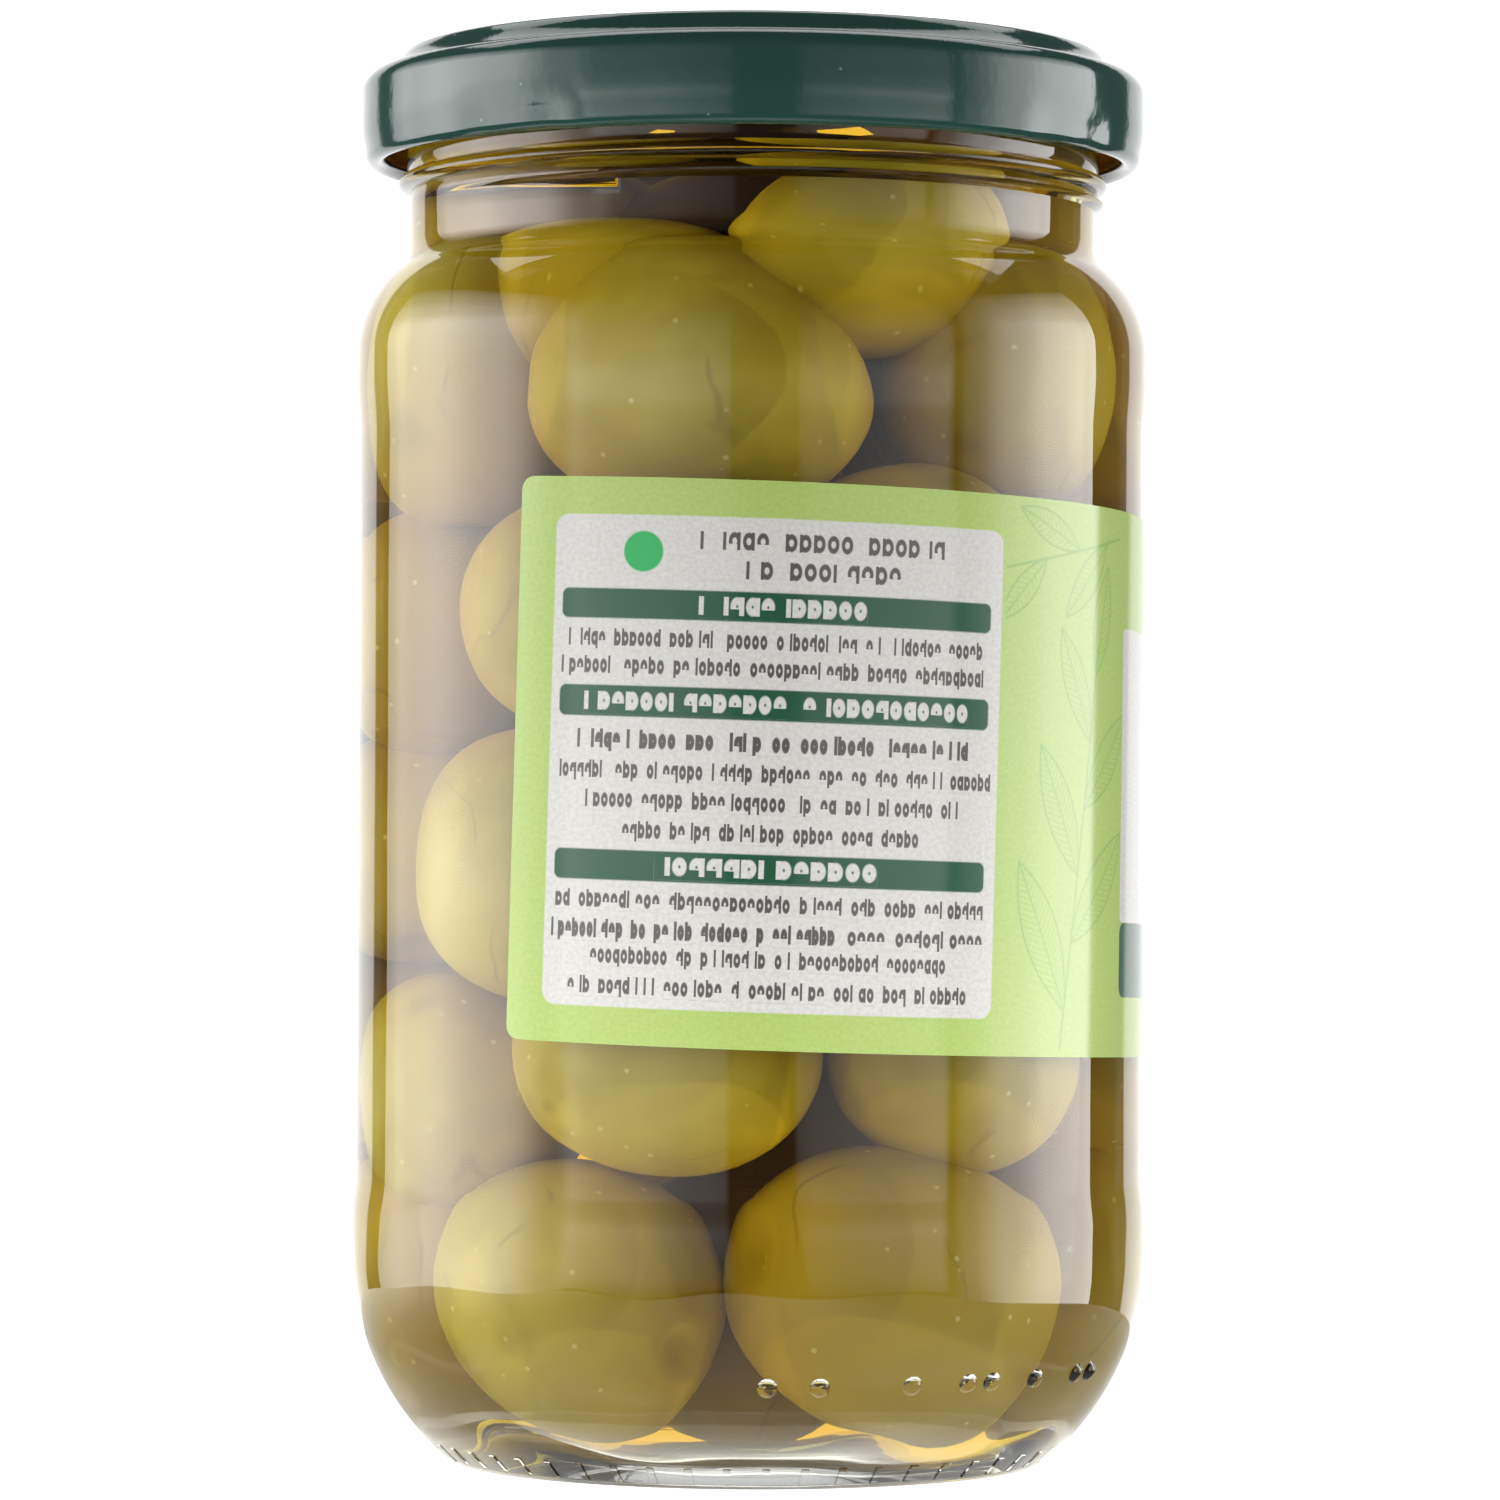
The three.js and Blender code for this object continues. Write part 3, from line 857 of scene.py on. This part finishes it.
def buildLabel(label):
    length = math.radians(label["wrap"]) * label["inner"]
    deselectAll()
    bpy.ops.mesh.primitive_cube_add(size=1, location=(0, 0, 0), scale=(length, label["height"], 1))
    piece = bpy.context.object
    piece.name = piece.data.name = "label"
    bpy.ops.object.transform_apply()
    # corners rounded while it is flat
    editMode()
    bpy.ops.mesh.select_mode(type='EDGE')
    bpy.ops.mesh.select_all(action='DESELECT')
    editMode(False)
    for edge in piece.data.edges:
        ends = [piece.data.vertices[i].co for i in edge.vertices]
        edge.select = abs(ends[0].z - ends[1].z) > 0.5
    editMode()
    bpy.ops.mesh.bevel(offset=label["corner"], segments=5, affect='EDGES')
    # cut across so that it can bend
    for i in range(1, label["steps"]):
        bpy.ops.mesh.select_all(action='SELECT')
        bpy.ops.mesh.bisect(plane_co=(-length / 2 + length * i / label["steps"], 0, 0), plane_no=(1, 0, 0))
    editMode(False)
    thickness = label["outer"] - label["inner"]
    sheet = piece.data.uv_layers.new(name="print") if not piece.data.uv_layers else piece.data.uv_layers[0]
    sheet.name = "print"
    for loop in piece.data.loops:
        flat = piece.data.vertices[loop.vertex_index].co
        # print coordinates in centimetres from the lower left corner
        sheet.data[loop.index].uv = ((flat.x + length / 2) / 10, (flat.y + label["height"] / 2) / 10)
    for vertex in piece.data.vertices:
        along, up, depth = vertex.co
        angle = math.radians(label["startAt"]) + (along + length / 2) / label["inner"]
        radius = label["inner"] + thickness * (depth + 0.5)
        turn = math.degrees(angle - label["slope"] * up / label["inner"])
        height = label["bottom"] + label["height"] / 2 + up + label["slope"] * label["inner"] * angle
        vertex.co = around(turn, radius, height)
    smooth(piece, 30)
    return piece


# Print, in centimetres from the label's lower left corner: left, right, bottom, top, corner radius
printSet = {
    "middle": 8.92, "textEnd": 4.4, "farMargin": 0.3, "panel": (0.355, 4.34, 0.315, 4.435, 0.12),
    "bars": ((0.435, 4.225, 3.565, 3.815, 0.06), (0.435, 4.225, 2.745, 3.005, 0.06),
             (0.435, 4.225, 1.375, 1.63, 0.06)),
    "spot": (1.15, 4.13, 0.17),
    # left, right, middle, letter height, then word lengths in letters
    "titles": ((1.62, 3.75, 4.235, 0.15, (5, 5, 6)), (2.01, 3.35, 3.995, 0.15, (2, 8))),
    "headings": ((1.63, 3.06, 3.69, 0.155, (11,)), (0.66, 4.02, 2.875, 0.155, (14, 12)),
                 (1.33, 3.22, 1.505, 0.155, (13,))),
    "rows": ((0.50, 4.15, 3.395, 0.12, (5, 6, 6, 5, 10, 2, 7, 5)),
             (0.44, 4.21, 3.165, 0.12, (7, 5, 8, 13, 5, 10)),
             (0.41, 4.27, 2.29, 0.12, (7, 3, 7, 5, 6, 3, 2, 3, 5, 6)),
             (0.70, 3.99, 2.045, 0.12, (6, 5, 11, 2, 2, 3, 7, 3)),
             (1.04, 3.58, 1.79, 0.12, (5, 5, 8, 5, 4, 5)),
             (0.45, 4.23, 1.205, 0.12, (2, 10, 14, 5, 3, 4, 8)),
             (2.97, 4.23, 0.955, 0.12, (4, 10)), (0.79, 3.87, 0.74, 0.12, (10, 2, 8, 2, 10, 8)),
             (0.59, 4.08, 0.485, 0.12, (3, 7, 7, 1, 9, 5, 3, 7))),
    "boldRows": ((0.61, 4.03, 2.545, 0.13, (6, 4, 3, 4, 2, 8, 10)),
                 (0.42, 2.87, 0.955, 0.13, (10, 2, 5, 6, 1, 8))),
    "front": (6.2, 11.64, 1.17, 3.73, 0.05), "band": (6.2, 11.64, 0.52, 1.17, 0.1),
    "frontTitle": ((7.1, 10.75, 2.75, 0.42, (5, 6)),), "bandTitle": ((7.3, 10.55, 0.84, 0.2, (6, 8)),),
    # sprigs: root, direction in degrees, length, count of leaves, length of the first leaf
    "sprigs": ((3.75, 0.05, 98, 3.5, 6, 1.45), (2.85, 4.5, -12, 1.9, 4, 1.0), (1.6, 4.1, 176, 2.6, 4, 1.0)),
}


def boxMask(tree, sheet, left, right, bottom, top, corner, soft=0.009):
    # 1 inside a rounded box, 0 outside
    middle = ((left + right) / 2, (bottom + top) / 2, 0)
    half = ((right - left) / 2 - corner, (top - bottom) / 2 - corner, 1)
    offset = vectorMaths(tree, 'ABSOLUTE', vectorMaths(tree, 'SUBTRACT', sheet, middle))
    outside = vectorMaths(tree, 'MAXIMUM', vectorMaths(tree, 'SUBTRACT', offset, half), (0, 0, 0))
    return ramp(tree, vectorMaths(tree, 'LENGTH', outside), corner - soft, corner + soft, 1.0, 0.0)


def letterPitch(row):
    left, right, middle, height, words = row
    return (right - left) / (sum(words) + len(words) - 1)


def wordMask(tree, sheet, row):
    # a row of boxes, one for each word
    left, right, middle, height, words = row
    pitch = letterPitch(row)
    along = split(tree, sheet)[0]
    mask = boxMask(tree, sheet, left, right, middle - height * 0.75, middle + height * 0.75, 0.01, 0.004)
    end = left
    for count in words[:-1]:
        end += (count + 0.5) * pitch
        space = maths(tree, 'GREATER_THAN', awayFrom(tree, along, end), pitch * 0.5)
        mask = maths(tree, 'MULTIPLY', mask, space)
        end += 0.5 * pitch
    return mask


def allWords(tree, sheet, rows, weight, tall):
    # meaningless marks in place of letters: rings, arches and stems, one to a cell; weight is the stroke's
    # width and tall how far some stems stand out, as shares of half the row's height
    parts = split(tree, sheet)
    boxes = middle = scale = shift = 0.0
    for number, row in enumerate(rows):
        box = wordMask(tree, sheet, row)
        boxes = maths(tree, 'ADD', boxes, box)
        middle = maths(tree, 'MULTIPLY_ADD', box, row[2], middle)
        scale = maths(tree, 'MULTIPLY_ADD', box, 1 / letterPitch(row), scale)
        shift = maths(tree, 'MULTIPLY_ADD', box, 70 * number - row[0] / letterPitch(row), shift)
    up = maths(tree, 'DIVIDE', maths(tree, 'SUBTRACT', parts[1], middle), rows[0][3] / 2)
    cells = maths(tree, 'MULTIPLY_ADD', parts[0], scale, shift)
    number = maths(tree, 'FLOOR', cells)
    lot, second = (shaderNode(tree, 'ShaderNodeTexWhiteNoise', {"noise_dimensions": '1D'},
                              W=maths(tree, 'ADD', number, seed)).outputs[0] for seed in (0.5, 900.5))
    across = maths(tree, 'SUBTRACT', maths(tree, 'FRACT', cells), 0.5)
    wide = maths(tree, 'DIVIDE', across, 0.42)
    away = maths(tree, 'SQRT', maths(tree, 'MULTIPLY_ADD', up, up, maths(tree, 'MULTIPLY', wide, wide)))
    ring = ramp(tree, awayFrom(tree, away, 1 - weight), weight * 0.7, weight * 1.3, 1.0, 0.0)
    opened = maths(tree, 'MULTIPLY', maths(tree, 'GREATER_THAN', second, 0.6),
                   maths(tree, 'LESS_THAN', up, -0.3))
    ring = maths(tree, 'MULTIPLY', ring, maths(tree, 'SUBTRACT', 1.0, opened))
    ring = maths(tree, 'MULTIPLY', ring, maths(tree, 'LESS_THAN', lot, 0.9))
    side = maths(tree, 'MULTIPLY_ADD', maths(tree, 'GREATER_THAN', second, 0.5), 0.6, -0.3)
    stem = ramp(tree, awayFrom(tree, across, side), weight * 0.3, weight * 0.45, 1.0, 0.0)
    top = maths(tree, 'MULTIPLY_ADD', maths(tree, 'GREATER_THAN', lot, 0.68), tall, 1.0)
    bottom = maths(tree, 'MULTIPLY_ADD', maths(tree, 'LESS_THAN', lot, 0.1), -tall, -1.0)
    stem = maths(tree, 'MULTIPLY', stem, maths(tree, 'LESS_THAN', up, top))
    stem = maths(tree, 'MULTIPLY', stem, maths(tree, 'GREATER_THAN', up, bottom))
    stem = maths(tree, 'MULTIPLY', stem, maths(tree, 'GREATER_THAN', awayFrom(tree, lot, 0.45), 0.23))
    return maths(tree, 'MULTIPLY', boxes, maths(tree, 'MAXIMUM', stem, ring))


def leafMask(tree, sheet, place, angle, length, width, line=0.011):
    # outline, middle rib and fine strokes of one leaf, as lines
    turned = shaderNode(tree, 'ShaderNodeVectorRotate', {"rotation_type": 'Z_AXIS'}, Vector=sheet,
                        Center=(*place, 0), Angle=-math.radians(angle)).outputs[0]
    parts = split(tree, turned)
    along = maths(tree, 'MULTIPLY_ADD', parts[0], 2 / length, -place[0] * 2 / length - 1)
    across = awayFrom(tree, parts[1], place[1])
    room = maths(tree, 'MULTIPLY_ADD', maths(tree, 'MULTIPLY', along, along), -width / 2, width / 2)
    edge = maths(tree, 'SUBTRACT', room, across)
    outline = ramp(tree, maths(tree, 'ABSOLUTE', edge), line * 0.5, line * 1.3, 1.0, 0.0)
    stroke = maths(tree, 'PINGPONG', maths(tree, 'MULTIPLY_ADD', across, -0.8, parts[0]), 0.03)
    inner = maths(tree, 'MAXIMUM', ramp(tree, across, line * 0.4, line, 1.0, 0.0),
                  ramp(tree, stroke, 0.004, 0.012, 0.55, 0.0))
    inside = maths(tree, 'GREATER_THAN', edge, 0.0)
    return maths(tree, 'MAXIMUM', outline, maths(tree, 'MULTIPLY', inner, inside))


def sprigMask(tree, sheet, sprig):
    left, bottom, direction, length, count, first = sprig
    turn = math.radians(direction)
    turned = shaderNode(tree, 'ShaderNodeVectorRotate', {"rotation_type": 'Z_AXIS'}, Vector=sheet,
                        Center=(left, bottom, 0), Angle=-turn).outputs[0]
    mask = boxMask(tree, turned, left, left + length, bottom - 0.012, bottom + 0.012, 0.01, 0.006)
    for i in range(count):
        share = (i + 0.6) / count
        place = (left + length * share * math.cos(turn), bottom + length * share * math.sin(turn))
        side = 34 if i % 2 else -34
        leaf = first * (1 - 0.35 * share)
        if i == count - 1:
            side = 4
        blade = leafMask(tree, sheet, place, direction + side, leaf, leaf * 0.3)
        mask = maths(tree, 'MAXIMUM', mask, blade)
    return mask


def labelMaterials():
    values = printSet
    made = []
    for name in ("labelText", "labelFront", "labelBack"):
        material, tree, output = newMaterial(name)
        sheet = shaderNode(tree, 'ShaderNodeUVMap', {"uv_map": "print"}).outputs[0]
        fibres = noise(tree, sheet, 26.0, 4.0, 0.7)
        green = mixColours(tree, ramp(tree, fibres, 0.3, 0.7), colour(132, 152, 77), colour(140, 160, 87))
        white = mixColours(tree, ramp(tree, fibres, 0.35, 0.65), colour(162, 160, 156), colour(173, 172, 169))
        grey, dark = colour(70, 68, 66), colour(22, 66, 44)
        if name == "labelText":
            shade = mixColours(tree, boxMask(tree, sheet, *values["panel"]), green, white)
            for rows, weight, tall in (("rows", 0.36, 0.5), ("boldRows", 0.46, 0.5), ("titles", 0.3, 0.0)):
                shade = mixColours(tree, allWords(tree, sheet, values[rows], weight, tall), shade, grey)
            for bar in values["bars"]:
                shade = mixColours(tree, boxMask(tree, sheet, *bar), shade, dark)
            shade = mixColours(tree, allWords(tree, sheet, values["headings"], 0.42, 0.0), shade, white)
            left, middle, radius = values["spot"]
            spot = boxMask(tree, sheet, left - radius, left + radius, middle - radius, middle + radius,
                           radius)
            shade = mixColours(tree, spot, shade, colour(20, 138, 70))
        elif name == "labelFront":
            # the sprigs are the same on both sides of the middle
            parts = split(tree, sheet)
            folded = shaderNode(tree, 'ShaderNodeCombineXYZ', X=awayFrom(tree, parts[0], values["middle"]),
                                Y=parts[1]).outputs[0]
            lines = sprigMask(tree, folded, values["sprigs"][0])
            for sprig in values["sprigs"][1:]:
                lines = maths(tree, 'MAXIMUM', lines, sprigMask(tree, folded, sprig))
            shade = mixColours(tree, maths(tree, 'MULTIPLY', lines, 0.5), green, colour(84, 126, 58))
            shade = mixColours(tree, boxMask(tree, sheet, *values["front"]), shade, white)
            shade = mixColours(tree, boxMask(tree, sheet, *values["band"]), shade, dark)
            shade = mixColours(tree, allWords(tree, sheet, values["frontTitle"], 0.24, 0.0), shade, grey)
            shade = mixColours(tree, allWords(tree, sheet, values["bandTitle"], 0.3, 0.0), shade, white)
        else:
            shade = mixColours(tree, ramp(tree, fibres, 0.3, 0.7), colour(214, 210, 200),
                               colour(228, 225, 216))
        bump = bumped(tree, 0.12, 0.0001, noise(tree, sheet, 90.0, 3.0))
        opaque(tree, output, Base_Color=shade, Roughness=0.5, Normal=bump, Specular_IOR_Level=0.1,
               Coat_Weight=0.85, Coat_Roughness=0.12)
        made.append(material)
    return made


label = buildLabel(labelSet)
for material in labelMaterials():
    label.data.materials.append(material)
sheet = label.data.uv_layers["print"].data
printEnd = printSet["textEnd"]
farEnd = 2 * printSet["middle"] - printEnd
for face in label.data.polygons:
    along = sum(sheet[i].uv.x for i in face.loop_indices) / face.loop_total
    inward = outward(face) < 0
    face.material_index = 2 if inward else int(printEnd < along < farEnd)
    if face.material_index == 0 and along > printSet["middle"] + 2:
        # the far end carries a second block of small print
        for i in face.loop_indices:
            sheet[i].uv.x -= farEnd - printSet["farMargin"]
finishPiece(label, "label_paper", "label")
print("label done")

scene = bpy.context.scene
scene.view_settings.view_transform = 'Standard'
scene.cycles.caustics_refractive = False
scene.cycles.caustics_reflective = False
scene.cycles.transmission_bounces = 8
scene.cycles.max_bounces = 9
scene.cycles.diffuse_bounces = 2
scene.cycles.glossy_bounces = 5
scene.cycles.transparent_max_bounces = 9
